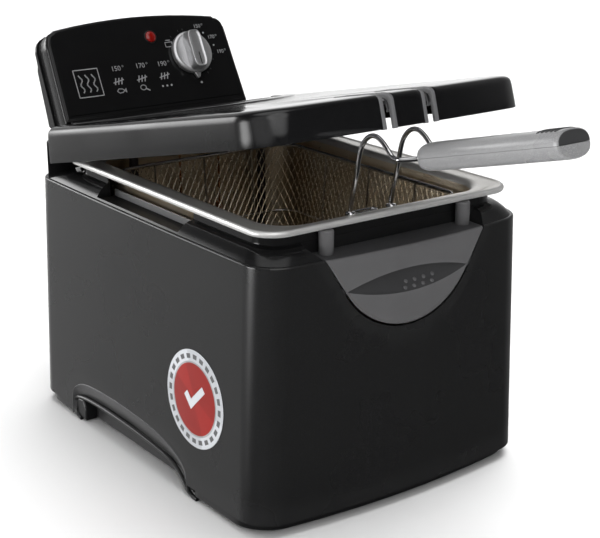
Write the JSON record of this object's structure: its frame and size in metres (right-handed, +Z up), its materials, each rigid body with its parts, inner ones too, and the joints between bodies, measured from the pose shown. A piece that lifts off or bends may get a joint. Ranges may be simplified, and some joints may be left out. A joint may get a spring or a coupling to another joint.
{
  "type": "deep fryer",
  "caption": "Electric deep fryer: black casing, lift-out steel pan, wire basket with handle, tilting lid and a detachable control unit with heater.",
  "frame": {"origin": "on the surface the fryer stands on, under the middle of its overall width and depth (handle included)", "axes": "+X to the right and +Y to the rear as seen by the cook standing at the handle side, +Z up"},
  "size_m": [0.2658, 0.5642, 0.3276],
  "materials": {
    "casing_plastic": "satin black moulded plastic with a light sheen",
    "base_plastic": "black moulded plastic",
    "foot_rubber": "black rubber",
    "screw_steel": "plain zinc-plated steel",
    "grip_plastic": "mid-grey fine-grained plastic",
    "badge_print": "printed label with a silver ring and a red disc, no wording",
    "pan_steel": "satin pressed stainless steel",
    "basket_wire": "plated wire",
    "handle_plastic": "satin silver plastic",
    "panel_black": "glossy black plastic",
    "lens_red": "red translucent lamp lens",
    "holder_white": "heat-resistant cream plastic",
    "switch_blue": "dark plastic",
    "element_steel": "heat-tinted steel tube",
    "bracket_steel": "pressed stainless steel",
    "probe_copper": "copper probe and capillary",
    "gland_rubber": "black rubber",
    "knob_silver": "silver plated-look plastic",
    "button_red": "red plastic",
    "pin_steel": "bright steel",
    "lid_plastic": "glossy black plastic with fine metallic fleck",
    "liner_grey": "grey heat-resistant plastic",
    "filter_fibre": "grey-brown fibre filter pad"
  },
  "bodies": {
    "casing": {"casing_shell": "casing_plastic", "base_tray": "base_plastic", "rubber_feet": "foot_rubber", "base_screws": "screw_steel", "front_grip": "grip_plastic", "rim_posts": "grip_plastic", "side_badge": "badge_print"},
    "pan": {"inner_pan": "pan_steel"},
    "control_unit": {"control_front": "panel_black", "control_rear": "casing_plastic", "control_fascia": "panel_black", "pilot_lamp": "lens_red", "lamp_holder": "holder_white", "thermostat_body": "holder_white", "safety_cutout": "holder_white", "terminal_block": "holder_white", "safety_switch": "switch_blue", "heating_element": "element_steel", "element_bracket": "bracket_steel", "element_guard": "bracket_steel", "thermostat_sensor": "probe_copper", "cutout_sensor": "probe_copper", "cord_gland": "gland_rubber", "control_screws": "screw_steel"},
    "basket": {"basket_mesh": "basket_wire", "basket_rim": "basket_wire", "basket_frame": "basket_wire", "handle_brackets": "basket_wire", "handle_wires": "basket_wire", "latch_loop": "basket_wire", "grip_upper": "handle_plastic", "grip_lower": "handle_plastic", "grip_screws": "screw_steel"},
    "lid_pins": {"lid_pivots": "pin_steel"},
    "lid": {"lid_shell": "lid_plastic", "lid_liner": "liner_grey", "lid_hinge_leaves": "liner_grey", "slot_liners": "liner_grey", "vent_cover": "lid_plastic", "grease_filter": "filter_fibre", "filter_grid": "bracket_steel", "lid_screws": "screw_steel"},
    "knob": {"control_knob": "knob_silver"},
    "reset": {"reset_button": "button_red"}
  },
  "joints": [
    {"name": "pan_lift", "type": "slide", "parent": "casing", "child": "pan", "axis": [0, 0, 1], "range_m": [0, 0.2]},
    {"name": "control_unit_lift", "type": "slide", "parent": "pan", "child": "control_unit", "axis": [0, 0, 1], "range_m": [0, 0.2]},
    {"name": "basket_lift", "type": "slide", "parent": "control_unit", "child": "basket", "axis": [0, 0, 1], "range_m": [0, 0.025]},
    {"name": "lid_lift", "type": "slide", "parent": "control_unit", "child": "lid_pins", "axis": [0, 0, 1], "range_m": [0, 0.1]},
    {"name": "lid_hinge", "type": "hinge", "parent": "lid_pins", "child": "lid", "pos_m": [0, 0.2027, 0.236], "axis": [-1, 0, 0], "range_deg": [-12.6, 78]},
    {"name": "knob_turn", "type": "hinge", "parent": "control_unit", "child": "knob", "pos_m": [0.0475, 0.24467, 0.29098], "axis": [0, 0.8813, -0.4726], "range_deg": [0, 282]},
    {"name": "reset_push", "type": "slide", "parent": "control_unit", "child": "reset", "axis": [0, -0.8813, 0.4726], "range_m": [0, 0.002], "stiffness_N_per_m": 300, "springref_m": -0.001}
  ]
}
